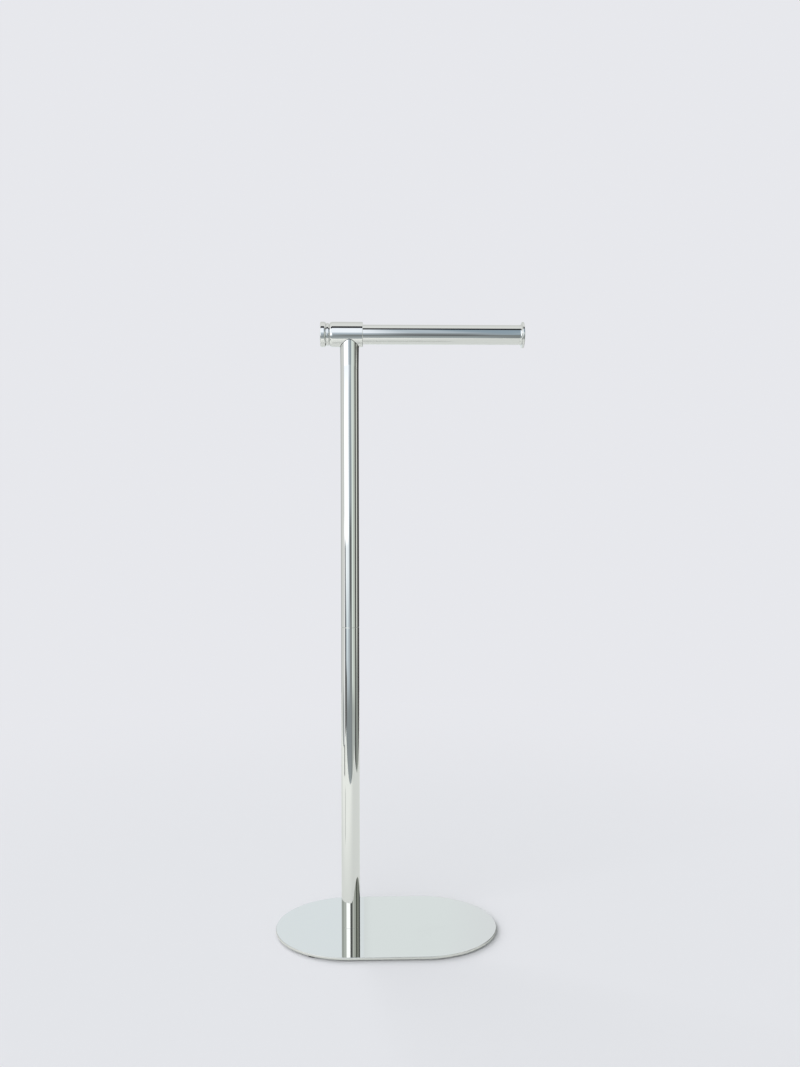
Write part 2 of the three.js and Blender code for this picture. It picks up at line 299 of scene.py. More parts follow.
def turned_tree():
    inputs = (
        ("Outline", "Geometry"),
        ("Sides", "Int", 96),
        ("Axis Point", "Vector", (0, 0, 0)),
        ("Lies Level", "Bool", False),
        ("Thread Pitch", "Float", MM),
        ("Thread Depth", "Float", 0.6 * MM),
        ("Saddle Radius", "Float", 13 * MM),
        ("Sharp Angle", "Float", SHARP_ANGLE),
        ("Finish", "Material"),
    )
    tree, given, out = new_group("GeometryNodeTree", "turned_piece", inputs, (("Piece", "Geometry"),))
    outline = given["Outline"]

    # a grid with one row for each point of the outline, and the angle of each of its points
    rows = add_node(tree, "GeometryNodeAttributeDomainSize", {"Geometry": outline}).outputs["Point Count"]
    around = plus(given["Sides"], 1)
    grid = add_node(tree, "GeometryNodeMeshGrid", {"Vertices X": rows, "Vertices Y": around})
    index = add_node(tree, "GeometryNodeInputIndex").outputs[0]
    along = maths("FLOOR", over(plus(index, 0.5), around))
    angle = over(times(minus(index, times(along, around)), 2 * math.pi), given["Sides"])

    def sampled(value, kind):
        inputs = {"Geometry": outline, "Value": value, "Index": along}
        return add_node(tree, "GeometryNodeSampleIndex", inputs, data_type=kind).outputs["Value"]

    def tag(name):
        named = add_node(tree, "GeometryNodeInputNamedAttribute", {"Name": name}, data_type="FLOAT")
        return sampled(named.outputs["Attribute"], "FLOAT")

    # the outline's own radius and height, changed where its tags say so
    position = add_node(tree, "GeometryNodeInputPosition").outputs[0]
    place = split(sampled(position, "FLOAT_VECTOR"))
    radius = thread_cut(place["X"], place["Z"], angle, given, tag("thread"))
    radius = hexagon_stretch(radius, angle, tag("hexagon"))
    radius = lip_swell(radius, angle, tag("lip"))
    cosine, sine = (times(radius, maths(side, angle)) for side in ("COSINE", "SINE"))
    height = saddle_dip(place["Z"], sine, given, tag("cope"))

    # the place of each point, with the axis upright or level
    upright, level = (
        add_node(tree, "ShaderNodeCombineXYZ", dict(enumerate(parts))).outputs[0]
        for parts in ((cosine, sine, height), (height, cosine, sine))
    )
    inputs = {"Switch": given["Lies Level"], "False": upright, "True": level}
    lying = add_node(tree, "GeometryNodeSwitch", inputs, input_type="VECTOR").outputs[0]
    moved = add_node(tree, "ShaderNodeVectorMath", {0: lying, 1: given["Axis Point"]}, operation="ADD")
    inputs = {
        "A": add_node(tree, "GeometryNodeInputMeshEdgeAngle").outputs["Unsigned Angle"],
        "B": given["Sharp Angle"],
    }
    soft = add_node(tree, "FunctionNodeCompare", inputs, data_type="FLOAT", operation="LESS_THAN")

    # from the flat grid to a piece with smooth rounds, sharp edges and its finish
    piece = grid.outputs["Mesh"]
    for kind, inputs, settings in (
        ("GeometryNodeSetPosition", {"Position": moved.outputs[0]}, {}),
        ("GeometryNodeMergeByDistance", {"Distance": SAME_POINT}, {}),
        ("GeometryNodeSetShadeSmooth", {}, {}),
        ("GeometryNodeSetShadeSmooth", {"Shade Smooth": soft.outputs[0]}, {"domain": "EDGE"}),
        ("GeometryNodeRealizeInstances", {}, {}),
        ("GeometryNodeSetMaterial", {"Material": given["Finish"]}, {}),
    ):
        piece = add_node(tree, kind, {"Geometry": piece, **inputs}, **settings).outputs[0]
    feed(out, {"Piece": piece})
    return tree


TURNED = turned_tree()
INPUT_OF = {s.name: s.identifier for s in TURNED.interface.items_tree if s.in_out == "INPUT"}
print("turned_piece has", len(TURNED.nodes), "nodes")

# %% [markdown]
# ## From an outline to a finished mesh
#
# The outline becomes a small mesh of points in a row, with the tags as attributes, and carries the
# tree as a modifier. The result is then kept as a plain mesh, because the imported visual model
# can't hold a live tree. A Weighted Normal modifier lets the large faces rule the shading, so that
# a fillet's edge doesn't bend the reflection in the long straight run next to it.

# %% Make and keep a turned piece
SIDES_SMALL = 48
SHADING_WEIGHT = 80


def add_object(name, data):
    made = bpy.data.objects.new(name, data)
    bpy.context.scene.collection.objects.link(made)
    return made


def keep_as_mesh(piece):
    """The evaluated piece as a plain mesh, with no modifiers left."""
    graph = bpy.context.evaluated_depsgraph_get()
    evaluated = piece.evaluated_get(graph)
    mesh = bpy.data.meshes.new_from_object(evaluated, preserve_all_data_layers=True, depsgraph=graph)
    piece.modifiers.clear()
    piece.data = mesh
    mesh.name = piece.name


def volume_of(mesh):
    work = bmesh.new()
    work.from_mesh(mesh)
    volume = work.calc_volume(signed=True)
    work.free()
    return volume


def even_shading(piece):
    weighted = piece.modifiers.new("even_shading", "WEIGHTED_NORMAL")
    weighted.mode = "FACE_AREA"
    weighted.weight = SHADING_WEIGHT
    weighted.keep_sharp = True
    keep_as_mesh(piece)


def finished(piece):
    """The piece with its faces outwards and evenly shaded."""
    if volume_of(piece.data) < 0:
        piece.data.flip_normals()
    even_shading(piece)
    print(f"{piece.name}: {len(piece.data.polygons)} faces, {1e9 * volume_of(piece.data):.0f} cubic mm")
    return piece


def turned(name, corners, finish, closed=True, level=False, **inputs):
    """A turned piece. Heights are from the floor, or along the arm from the pole's axis."""
    outline = rounded(corners, closed)
    mesh = bpy.data.meshes.new(name)
    rows = range(len(outline) - 1)
    mesh.from_pydata([(r * MM, 0, h * MM) for r, h, _ in outline], [(k, k + 1) for k in rows], [])
    for place, tag in enumerate(("thread", "hexagon", "cope", "lip")):
        values = mesh.attributes.new(tag, "FLOAT", "POINT")
        values.data.foreach_set("value", [tags[place] for _, _, tags in outline])
    piece = add_object(name, mesh)
    tree = piece.modifiers.new("turned", "NODES")
    tree.node_group = TURNED
    values = {
        "Axis Point": (pole_axis, 0, arm_level if level else 0),
        "Lies Level": level,
        "Finish": finish,
        **inputs,
    }
    for key, value in values.items():
        tree[INPUT_OF[key]] = value
    keep_as_mesh(piece)
    return finished(piece)


def dress(piece, node):
    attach(piece, "root")
    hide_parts(node)


print("ready to turn pieces")

# %% [markdown]
# ## Shared surface effects
#
# Three effects show on more than one metal. Plating follows the polished steel under it and is
# never perfectly flat, so reflections waver a little. Handling leaves a faint film that blurs
# the mirror in patches. A lathe leaves fine rings on a piece that isn't polished. Each is a node
# group, built once, with its sizes as inputs, and it puts out only heights and masks.

# %% Node groups for the surfaces
FINE_SCALE, FINE_SHARE = 14, 0.2
FILM_EDGE = 0.25
STAIN_SCALE = 180.0


def surface_group(name, sizes, outputs):
    inputs = [("Vector", "Vector")] + [(label, "Float", value) for label, value in sizes.items()]
    return new_group("ShaderNodeTree", name, inputs, [(label, "Float") for label in outputs])


def noise(vector, scale, detail=2.0, roughness=0.5):
    inputs = {"Vector": vector, "Scale": scale, "Detail": detail, "Roughness": roughness}
    return add_node(vector.id_data, "ShaderNodeTexNoise", inputs).outputs["Fac"]


def rise(value, start, end):
    """A soft step from 0 at the start to 1 at the end."""
    inputs = {"Value": value, "From Min": start, "From Max": end}
    step = add_node(value.id_data, "ShaderNodeMapRange", inputs, interpolation_type="SMOOTHSTEP")
    return step.outputs["Result"]


def plating_group():
    sizes = {"Wave Scale": 60.0, "Grain Scale": 2600.0}
    group, given, out = surface_group("plating_wave", sizes, ("Wave", "Grain"))
    wave = noise(given["Vector"], given["Wave Scale"], detail=1.0)
    grain = noise(given["Vector"], given["Grain Scale"], detail=3.0, roughness=0.6)
    feed(out, {"Wave": wave, "Grain": grain})
    return group


def film_group():
    sizes = {"Patch Scale": 22.0, "Cover": 0.5}
    group, given, out = surface_group("handling_film", sizes, ("Film",))
    patches = noise(given["Vector"], given["Patch Scale"], detail=4.0, roughness=0.6)
    fine = noise(given["Vector"], times(given["Patch Scale"], FINE_SCALE))
    mixed = plus(times(patches, 1 - FINE_SHARE), times(fine, FINE_SHARE))
    bare = minus(1, given["Cover"])
    feed(out, {"Film": rise(mixed, bare, plus(bare, FILM_EDGE))})
    return group


def lathe_group():
    """Rings from a lathe. The vector is centred on the piece's axis, which is its Z."""
    group, given, out = surface_group("lathe_rings", {"Ring Scale": 4200.0}, ("Rings", "Stain"))
    parts = split(given["Vector"])
    tool_path = plus(parts["Z"], distance(parts["X"], parts["Y"]))
    inputs = {"W": tool_path, "Scale": given["Ring Scale"], "Detail": 3.0}
    rings = add_node(group, "ShaderNodeTexNoise", inputs, noise_dimensions="1D").outputs["Fac"]
    stain = noise(given["Vector"], STAIN_SCALE, detail=5.0, roughness=0.62)
    feed(out, {"Rings": rings, "Stain": stain})
    return group


PLATING, FILM, LATHE = plating_group(), film_group(), lathe_group()
print("groups:", [g.name for g in (PLATING, FILM, LATHE)])

# %% [markdown]
# ## The finishes
#
# Chrome is a metal shader, nearly white, with very low roughness. What makes it look real is what
# it mirrors, together with slight changes of gloss. The upper tube's chrome also holds a dark, dull
# hairline where it meets the sleeve, painted shade in that seam. The screws and plugs are bare steel
# and brass with lathe rings. The feet are dull black rubber with a fine closed grain. Numbers that
# are the same all over are set on the shader itself, and only what changes over the surface is linked.

# %% Helpers for materials
def material(name):
    made = bpy.data.materials.new(name)
    made.use_nodes = True
    return made, made.node_tree, made.node_tree.nodes["Principled BSDF"]


def place_group(group, vector, **sizes):
    """A surface group in the vector's tree, with sizes of its own."""
    inputs = {"Vector": vector, **{label.replace("_", " "): value for label, value in sizes.items()}}
    return add_node(vector.id_data, "ShaderNodeGroup", inputs, node_tree=group).outputs


def object_place(tree):
    return add_node(tree, "ShaderNodeTexCoord").outputs["Object"]


def centred(tree, level=False):
    """Object coordinates, moved so that Z is the piece's own axis."""
    inputs = {
        "Vector": object_place(tree),
        "Location": (pole_axis, 0, arm_level if level else 0),
        "Rotation": (0, math.radians(90) if level else 0, 0),
    }
    return add_node(tree, "ShaderNodeMapping", inputs, vector_type="TEXTURE").outputs[0]


def spread(share, low, high):
    """A share of 0 to 1 spread over a range of values."""
    inputs = {"Value": share, "To Min": low, "To Max": high}
    return add_node(share.id_data, "ShaderNodeMapRange", inputs).outputs["Result"]


def blend(share, first, second):
    """A blend of two colours, each a socket or three numbers."""
    first, second = ((*c, 1) if isinstance(c, tuple) else c for c in (first, second))
    inputs = {"Factor": share, "A": first, "B": second}
    return add_node(share.id_data, "ShaderNodeMix", inputs, data_type="RGBA").outputs["Result"]


def bump(height, depth, strength):
    inputs = {"Height": height, "Distance": depth, "Strength": strength}
    return add_node(height.id_data, "ShaderNodeBump", inputs).outputs["Normal"]


print("material helpers ready")

# %% Polished chrome
CLEAN_CHROME, FILMED_CHROME = (0.80, 0.812, 0.803), (0.782, 0.792, 0.782)
# a dark, dull line painted along the seam under the sleeve: painted shade in that seam
SEAM_SHADE_COLOUR, SEAM_SHADE_DULLNESS = (0.06, 0.06, 0.062), 0.3
SEAM_SHADE_FULL, SEAM_SHADE_END = 0.5 * MM, 0.9 * MM
CHROME_GLOSS, GRAIN_GLOSS = (0.028, 0.05), (-0.006, 0.006)
POLISH_DEPTH, POLISH_STRENGTH = 0.02 * MM, 0.5


def seam_shade_line(where):
    """A mask for the dark, dull hairline of painted shade where the tube meets the sleeve."""
    parts = split(where)
    across = times(parts["Y"], parts["Y"])
    round_side = maths("SQRT", minus((sleeve_radius * MM) ** 2, across))
    below = minus(minus(arm_level, parts["Z"]), round_side)
    return rise(below, SEAM_SHADE_END, SEAM_SHADE_FULL)


def polished_chrome(name, seam_shaded):
    made, tree, shader = material(name)
    where = centred(tree)
    plating = place_group(PLATING, where, Wave_Scale=45.0, Grain_Scale=2400.0)
    film = place_group(FILM, where, Patch_Scale=18.0, Cover=0.46)["Film"]
    colour = blend(film, CLEAN_CHROME, FILMED_CHROME)
    gloss = plus(spread(film, *CHROME_GLOSS), spread(plating["Grain"], *GRAIN_GLOSS))
    if seam_shaded:
        # painted shade: the seam under the sleeve is darkened and dulled
        line = seam_shade_line(where)
        colour = blend(line, colour, SEAM_SHADE_COLOUR)
        gloss = plus(gloss, times(line, SEAM_SHADE_DULLNESS))
    wave = bump(plating["Wave"], POLISH_DEPTH, POLISH_STRENGTH)
    feed(shader, {"Metallic": 1.0, "Base Color": colour, "Roughness": gloss, "Normal": wave})
    return made


CHROME = polished_chrome("mirror_chrome", seam_shaded=False)
CHROME_SEAM_SHADED = polished_chrome("mirror_chrome_seam_shaded", seam_shaded=True)
print("chrome:", CHROME.name, CHROME_SEAM_SHADED.name)

# %% Plain steel, brass and rubber
STEEL_COLOURS = (0.56, 0.56, 0.55), (0.47, 0.47, 0.46)
BRASS_COLOURS = (0.66, 0.51, 0.24), (0.54, 0.40, 0.18)
RUBBER_COLOURS = (0.047, 0.047, 0.05), (0.075, 0.074, 0.074)
RING_GLOSS, FILM_GLOSS, RUBBER_GLOSS = (0.24, 0.34), (0.0, 0.12), (0.78, 0.96)
RING_DEPTH, RING_STRENGTH = 0.02 * MM, 0.6
GRAIN_DEPTH, GRAIN_STRENGTH = 0.08 * MM, 0.7
RUBBER_SHINE = 0.35


def turned_metal(name, colours, level):
    made, tree, shader = material(name + ("_level" if level else "_upright"))
    where = centred(tree, level)
    lathe = place_group(LATHE, where, Ring_Scale=4200.0)
    film = place_group(FILM, where, Patch_Scale=60.0, Cover=0.55)["Film"]
    gloss = plus(spread(lathe["Rings"], *RING_GLOSS), spread(film, *FILM_GLOSS))
    rings = bump(lathe["Rings"], RING_DEPTH, RING_STRENGTH)
    colour = blend(lathe["Stain"], *colours)
    feed(shader, {"Metallic": 1.0, "Base Color": colour, "Roughness": gloss, "Normal": rings})
    return made


def foot_rubber():
    made, tree, shader = material("grained_rubber")
    where = centred(tree)
    grain = noise(where, 5200.0, detail=3.0, roughness=0.6)
    dust = place_group(FILM, where, Patch_Scale=70.0, Cover=0.5)["Film"]
    feed(shader, {"Base Color": blend(dust, *RUBBER_COLOURS), "Roughness": spread(grain, *RUBBER_GLOSS)})
    bumps = bump(grain, GRAIN_DEPTH, GRAIN_STRENGTH)
    feed(shader, {"Specular IOR Level": RUBBER_SHINE, "Normal": bumps})
    return made


STEEL, STEEL_LEVEL = (turned_metal("turned_steel", STEEL_COLOURS, level) for level in (False, True))
BRASS, BRASS_LEVEL = (turned_metal("plain_brass", BRASS_COLOURS, level) for level in (False, True))
RUBBER = foot_rubber()
print("materials:", [m.name for m in (STEEL, STEEL_LEVEL, BRASS, BRASS_LEVEL, RUBBER)])

# %% [markdown]
# ## The base plate and its feet
#
# The plate is cut from 2.5 mm sheet with half-round ends, its edge is rounded over and polished,
# and a countersunk hole takes the screw that holds the pole. A bevelled slab would do, but a mirror
# shows every uneven facet, so the outline is laid out ring by ring: from the hole across the top,
# over the edge, back under the plate and up through the countersink. Four rubber discs are stuck
# on below. They are turned pieces, so they come from the same tree as the rest.

# %% A flat piece with half-round ends and one round hole
ARC_SIDES = 72
plate_left, plate_right = (v / MM for v in span("base_plate", 0))
plate_end = radius_of("base_plate")


def stadium(inset):
    """The outline in millimetres, inset from the plate's edge."""
    middle = (plate_left + plate_right) / 2
    end = plate_end - inset
    made = []
    for side, start in ((plate_right - middle - plate_end, -90), (plate_left - middle + plate_end, 90)):
        for s in range(ARC_SIDES + 1):
            t = math.radians(start + 180 * s / ARC_SIDES)
            made.append(Vector((middle + side + end * math.cos(t), end * math.sin(t))))
    return made


def round_hole(radius):
    """A circle about the pole's axis, each point in line with a point of the outline."""
    axis = Vector((pole_axis / MM, 0))
    return [axis + (p - axis).normalized() * radius for p in stadium(0)]


def ringed(name, rings, finish):
    """A closed piece from rings of (outline in millimetres, height in millimetres)."""
    mesh = bpy.data.meshes.new(name)
    count = len(rings[0][0])
    places = [(p.x * MM, p.y * MM, height * MM) for outline, height in rings for p in outline]
    faces = []
    for k in range(len(rings)):
        low, high = k * count, (k + 1) % len(rings) * count
        for s in range(count):
            t = (s + 1) % count
            faces.append((low + s, low + t, high + t, high + s))
    mesh.from_pydata(places, [], faces)
    mesh.materials.append(finish)
    mesh.shade_smooth()
    mesh.set_sharp_from_angle(angle=SHARP_ANGLE)
    return finished(add_object(name, mesh))


print("plate in mm:", round(plate_right - plate_left, 1), "by", round(2 * plate_end, 1))

# %% Plate
EDGE_ROUND = 0.5
EDGE_STEPS = 8
SCREW_HOLE = 3.5
SINK_RADIUS = 6.0

edge = []
for s in range(EDGE_STEPS + 1):
    t = math.radians(90 * s / EDGE_STEPS)
    edge.append((stadium(EDGE_ROUND * (1 - math.sin(t))), EDGE_ROUND * (1 - math.cos(t))))
rings = [
    (round_hole(SCREW_HOLE), plate_top),
    (stadium(EDGE_ROUND + HOLD), plate_top),
    *((outline, plate_top - drop) for outline, drop in edge),
    *((outline, plate_bottom + drop) for outline, drop in reversed(edge)),
    (stadium(EDGE_ROUND + HOLD), plate_bottom),
    (round_hole(SINK_RADIUS), plate_bottom),
]
plate = ringed("plate_body", rings, CHROME)
dress(plate, "base_plate")

# %% Feet
FOOT_ROUND = 0.3


def foot(name, node):
    """A rubber disc with a softened lower edge, at its CAD node's own place."""
    bottom, top = levels(node)
    radius = radius_of(node)
    corners = [corner(0, bottom), corner(radius, bottom, FOOT_ROUND), corner(radius, top), corner(0, top)]
    middle = (sum(span(node, 0)) / 2, sum(span(node, 1)) / 2, 0)
    piece = turned(name, corners, RUBBER, closed=False, Sides=SIDES_SMALL, **{"Axis Point": middle})
    dress(piece, node)


for side in ("front_left", "front_right", "back_left", "back_right"):
    foot(side + "_disc", side + "_foot")

# %% [markdown]
# ## Screws, studs and the plugs they hold
#
# A hidden chain of fasteners keeps the stand rigid. A countersunk screw comes up through the plate
# into a plug in the pole's foot, a headless stud joins the two tubes, a second screw pulls the
# sleeve down on the pole, and a stud clamps the finial. All are common metric sizes with coarse
# threads. Their threads and hexagon sockets come from the tree, so each outline stays simple.

# %% Threaded pieces, in millimetres
PITCH = {5: 0.8, 6: 1.0, 8: 1.25}
FOOT_THREAD, JOINT_THREAD, SLEEVE_THREAD, KNOB_THREAD = 6, 8, 5, 6
THREAD_SHARE = 0.61
TAP_GAP = 0.12
TAP_RUNOUT = 0.6
DRILL_POINT_SHARE = 0.3
EDGE_BREAK = 0.1
HEAD_ROUND, HEAD_LAND = 0.12, 0.25
NECK_GAP, THREAD_START = 0.12, 0.3
TIP_CHAMFER, STUD_CHAMFER = 0.6, 0.7
STUD_SOCKET = 3.0


def thread_inputs(size):
    return {"Thread Pitch": PITCH[size] * MM, "Thread Depth": THREAD_SHARE * PITCH[size] * MM}


def socket(start, depth, flats, point=1):
    """The hexagon socket of a screw, from the bottom of the recess to its mouth."""
    across = flats / 2
    floor = start + point * depth
    drilled = floor + point * across * DRILL_POINT_SHARE
    return [corner(0, drilled), corner(across, floor, hexagon=1), corner(across, start, hexagon=1)]


def countersunk_screw(name, node, size, base, length, head, flats, depth, point=1):
    """The head's flat is at the base level. Point is 1 if it points up, and -1 if down."""
    shank, cone = size / 2, (head - size) / 2
    tip = base + point * length
    corners = [
        *socket(base, depth, flats, point),
        corner(head / 2, base, HEAD_ROUND),
        corner(head / 2, base + point * HEAD_LAND, EDGE_BREAK),
        corner(shank, base + point * (cone + NECK_GAP), EDGE_BREAK),
        *threaded(shank, base + point * (cone + THREAD_START), tip - point * TIP_CHAMFER, PITCH[size]),
        corner(shank - TIP_CHAMFER, tip, EDGE_BREAK),
        corner(0, tip),
    ]
    screw = turned(name, corners, STEEL, closed=False, Sides=SIDES_SMALL, **thread_inputs(size))
    dress(screw, node)


def stud(name, node, size, flats, level=False):
    start, end = along_arm(node) if level else levels(node)
    radius = size / 2
    corners = [
        *socket(start, STUD_SOCKET, flats),
        corner(radius - STUD_CHAMFER, start, EDGE_BREAK),
        *threaded(radius, start + STUD_CHAMFER, end - STUD_CHAMFER, PITCH[size]),
        corner(radius - STUD_CHAMFER, end, EDGE_BREAK),
        corner(0, end),
    ]
    finish = STEEL_LEVEL if level else STEEL
    inputs = {"closed": False, "level": level, "Sides": SIDES_SMALL, **thread_inputs(size)}
    dress(turned(name, corners, finish, **inputs), node)


print("thread pitches in mm:", PITCH)

# %% Screws and studs
plate_screw_base = levels("base_screw")[0]
sleeve_screw_tip, sleeve_screw_base = levels("tee_screw")
plate_screw = {"base": plate_screw_base, "length": 18, "head": 11.4, "flats": 4, "depth": 2.2}
sleeve_screw = {"base": sleeve_screw_base, "length": 15, "head": 9, "flats": 3, "depth": 1.6, "point": -1}
countersunk_screw("plate_screw", "base_screw", FOOT_THREAD, **plate_screw)
stud("tube_stud", "joint_stud", JOINT_THREAD, flats=4)
countersunk_screw("sleeve_screw", "tee_screw", SLEEVE_THREAD, **sleeve_screw)
stud("knob_stud", "finial_stud", KNOB_THREAD, flats=3, level=True)

# %% Plugs and inserts
PLUG_CHAMFER, PLUG_ROUND = 0.8, 0.15
DRILLED_PAST = 1.2
FOOT_TAP_DEPTH = 16
TAP_PAST_SCREW = 1


def plug(name, node, finish, size, level=False, tapped_from=None, tapped_to=None):
    """A round plug with a chamfer at each end and a tapped hole through it or to a depth."""
    start, end = along_arm(node) if level else levels(node)
    outer, hole = radius_of(node), size / 2 + TAP_GAP
    start_hole = start if tapped_from is None else tapped_from
    end_hole = end if tapped_to is None else tapped_to
    shell = [
        corner(outer - PLUG_CHAMFER, start, PLUG_ROUND),
        corner(outer, start + PLUG_CHAMFER, PLUG_ROUND),
        corner(outer, end - PLUG_CHAMFER, PLUG_ROUND),
        corner(outer - PLUG_CHAMFER, end, PLUG_ROUND),
    ]
    through = tapped_from is None and tapped_to is None
    inner = threaded(hole, end_hole, start_hole, PITCH[size], TAP_RUNOUT)
    if through:
        corners = shell + inner
    elif tapped_to is None:
        corners = [corner(0, start), *shell, *inner, corner(0, start_hole - DRILLED_PAST)]
    else:
        corners = [corner(0, end_hole + DRILLED_PAST), *inner, *shell, corner(0, end)]
    inputs = {"closed": through, "level": level, "Sides": SIDES_SMALL, **thread_inputs(size)}
    dress(turned(name, corners, finish, **inputs), node)


foot_tap = levels("foot_insert")[0] + FOOT_TAP_DEPTH
top_tap = sleeve_screw_tip - TAP_PAST_SCREW
plug("foot_plug", "foot_insert", STEEL, FOOT_THREAD, tapped_to=foot_tap)
plug("lower_plug", "lower_joint_insert", BRASS, JOINT_THREAD)
plug("upper_plug", "upper_joint_insert", BRASS, JOINT_THREAD)
plug("top_plug", "pole_top_plug", BRASS, SLEEVE_THREAD, tapped_from=top_tap)
plug("arm_inner_plug", "arm_plug", BRASS_LEVEL, KNOB_THREAD, level=True)

# %% [markdown]
# ## The pole
#
# The pole is two tubes of one section, butted together. Both ends at the joint are chamfered by a
# third of a millimetre, which leaves the fine groove that shows half way up. The upper tube's top
# is coped: it follows the round of the sleeve, so it rises at the front and back and dips at the
# sides. The tree's saddle rule gives that curve to the top ring, for the outer and the inner wall.
# Braze closes the joint, and a dark, dull hairline is painted along it, painted shade in the seam.
# Towards it the tube swells gently, most at the front and the back, where the two rounds meet at a
# shallow angle. That swelling, the outline's lip, turns the round arch of a plain cope into the
# pointed one of the real joint.

# %% The two tubes
WALL = 1.2
TUBE_CHAMFER = 0.35
FINE = 0.12
SEAM = 0.05
LIP, LIP_RISE, LIP_EDGE, LIP_STEPS, LIP_CURVE = 1.85, 24, 0.1, 16, 1.3
LIP_BREAK = 0.2
STRAIGHT_BELOW, BORE_BELOW = 42, 16
POLE_SIDES = 144
pole_bore = pole_radius - WALL
arm_middle = arm_level / MM

corners = [
    corner(pole_bore, plate_top),
    corner(pole_radius, plate_top, FINE),
    corner(pole_radius, joint_level - TUBE_CHAMFER, FINE),
    corner(pole_radius - TUBE_CHAMFER, joint_level, FINE / 2),
    corner(pole_bore, joint_level),
]
lower_tube = turned("pole_lower", corners, CHROME, Sides=POLE_SIDES)
dress(lower_tube, "lower_pole_tube")

lip = []
for s in range(LIP_STEPS + 1):
    t = s / LIP_STEPS
    level = arm_middle - LIP_EDGE - LIP_RISE * (1 - t)
    lip.append(corner(pole_radius, level, cope=1, lip=LIP * t**LIP_CURVE))
corners = [
    corner(pole_bore, joint_level),
    corner(pole_radius - TUBE_CHAMFER, joint_level, FINE / 2),
    corner(pole_radius, joint_level + TUBE_CHAMFER, FINE),
    corner(pole_radius, arm_middle - STRAIGHT_BELOW),
    *lip,
    corner(pole_radius - LIP_BREAK, arm_middle, cope=1),
    corner(pole_bore, arm_middle, cope=1),
    corner(pole_bore, arm_middle - BORE_BELOW),
]
saddle = {"Saddle Radius": (sleeve_radius + SEAM) * MM}
upper_tube = turned("pole_upper", corners, CHROME_SEAM_SHADED, Sides=POLE_SIDES, **saddle)
dress(upper_tube, "upper_pole_tube")

# %% [markdown]
# ## The sleeve on top of the pole
#
# The sleeve is a cup turned from bar: bored for the arm, with a rounded shoulder and a pierced end
# wall on the finial's side, and a crisp mouth where the arm comes out. One countersunk hole in
# the bottom of its bore takes the screw that pulls it down on the pole. A Boolean cuts that hole,
# because it is the one feature that doesn't go round the sleeve's own axis. The drill that cuts it
# is a turned shape too.

# %% Sleeve
ARM_SIDES = 144
SLIDE = 0.2
CRISP = 0.08
STUD_HOLE = 3.3
SHOULDER_RUN, SHOULDER_DROP, SHOULDER_STEPS, END_WALL, MOUTH = 3.4, 2.3, 16, 3.6, 0.35
DRILL_RADIUS, SINK_MOUTH, SINK_DEPTH, DRILL_DEPTH, DRILL_ABOVE = 2.8, 4.8, 2.0, 5, 2
sleeve_start, sleeve_end = along_arm("tee_sleeve")
sleeve_bore = arm_radius + SLIDE

shoulder = (sleeve_radius - SHOULDER_DROP, sleeve_start + SHOULDER_RUN)
corners = [
    corner(STUD_HOLE, sleeve_start),
    corner(sleeve_radius - SHOULDER_DROP - HOLD, sleeve_start),
    *arc(shoulder, (SHOULDER_DROP, SHOULDER_RUN), -90, 0, SHOULDER_STEPS),
    corner(sleeve_radius, sleeve_start + SHOULDER_RUN + HOLD),
    corner(sleeve_radius, sleeve_end - MOUTH, FINE),
    corner(sleeve_radius - MOUTH, sleeve_end, FINE),
    corner(sleeve_bore, sleeve_end, CRISP),
    corner(sleeve_bore, sleeve_start + END_WALL),
    corner(STUD_HOLE, sleeve_start + END_WALL),
]
sleeve = turned("sleeve_cup", corners, CHROME, level=True, Sides=ARM_SIDES)

seat = sleeve_screw_base
corners = [
    corner(0, seat - DRILL_DEPTH),
    corner(DRILL_RADIUS, seat - DRILL_DEPTH),
    corner(DRILL_RADIUS, seat - SINK_DEPTH),
    corner(SINK_MOUTH, seat),
    corner(SINK_MOUTH, seat + DRILL_ABOVE),
    corner(0, seat + DRILL_ABOVE),
]
drill = turned("drill", corners, CHROME, closed=False, Sides=SIDES_SMALL)
cut = sleeve.modifiers.new("screw_hole", "BOOLEAN")
cut.object = drill
cut.solver = "EXACT"
keep_as_mesh(sleeve)
bpy.data.objects.remove(drill)
sleeve.data.set_sharp_from_angle(angle=SHARP_ANGLE)
even_shading(sleeve)
dress(sleeve, "tee_sleeve")
print("sleeve with its hole:", len(sleeve.data.polygons), "faces")

# %% [markdown]
# ## The arm, its cap and the finial
#
# The arm is a plain tube, so that a roll slides on freely. Its free end is closed by a cap that
# sweeps out of the tube's own diameter into a thin rim, which keeps the roll on. The finial at the
# other end is turned in one piece: a disc that rounds off into a fine groove, a collar with
# rounded edges and a short neck. Small ellipses and curves in the outline give each its roundness.

# %% Arm tube
arm_start, arm_end = along_arm("arm_tube")
arm_bore = arm_radius - WALL
corners = [
    corner(arm_bore, arm_start),
    corner(arm_radius, arm_start, FINE),
    corner(arm_radius, arm_end),
    corner(arm_bore, arm_end),
]
arm = turned("arm_bar", corners, CHROME, level=True, Sides=ARM_SIDES)
dress(arm, "arm_tube")

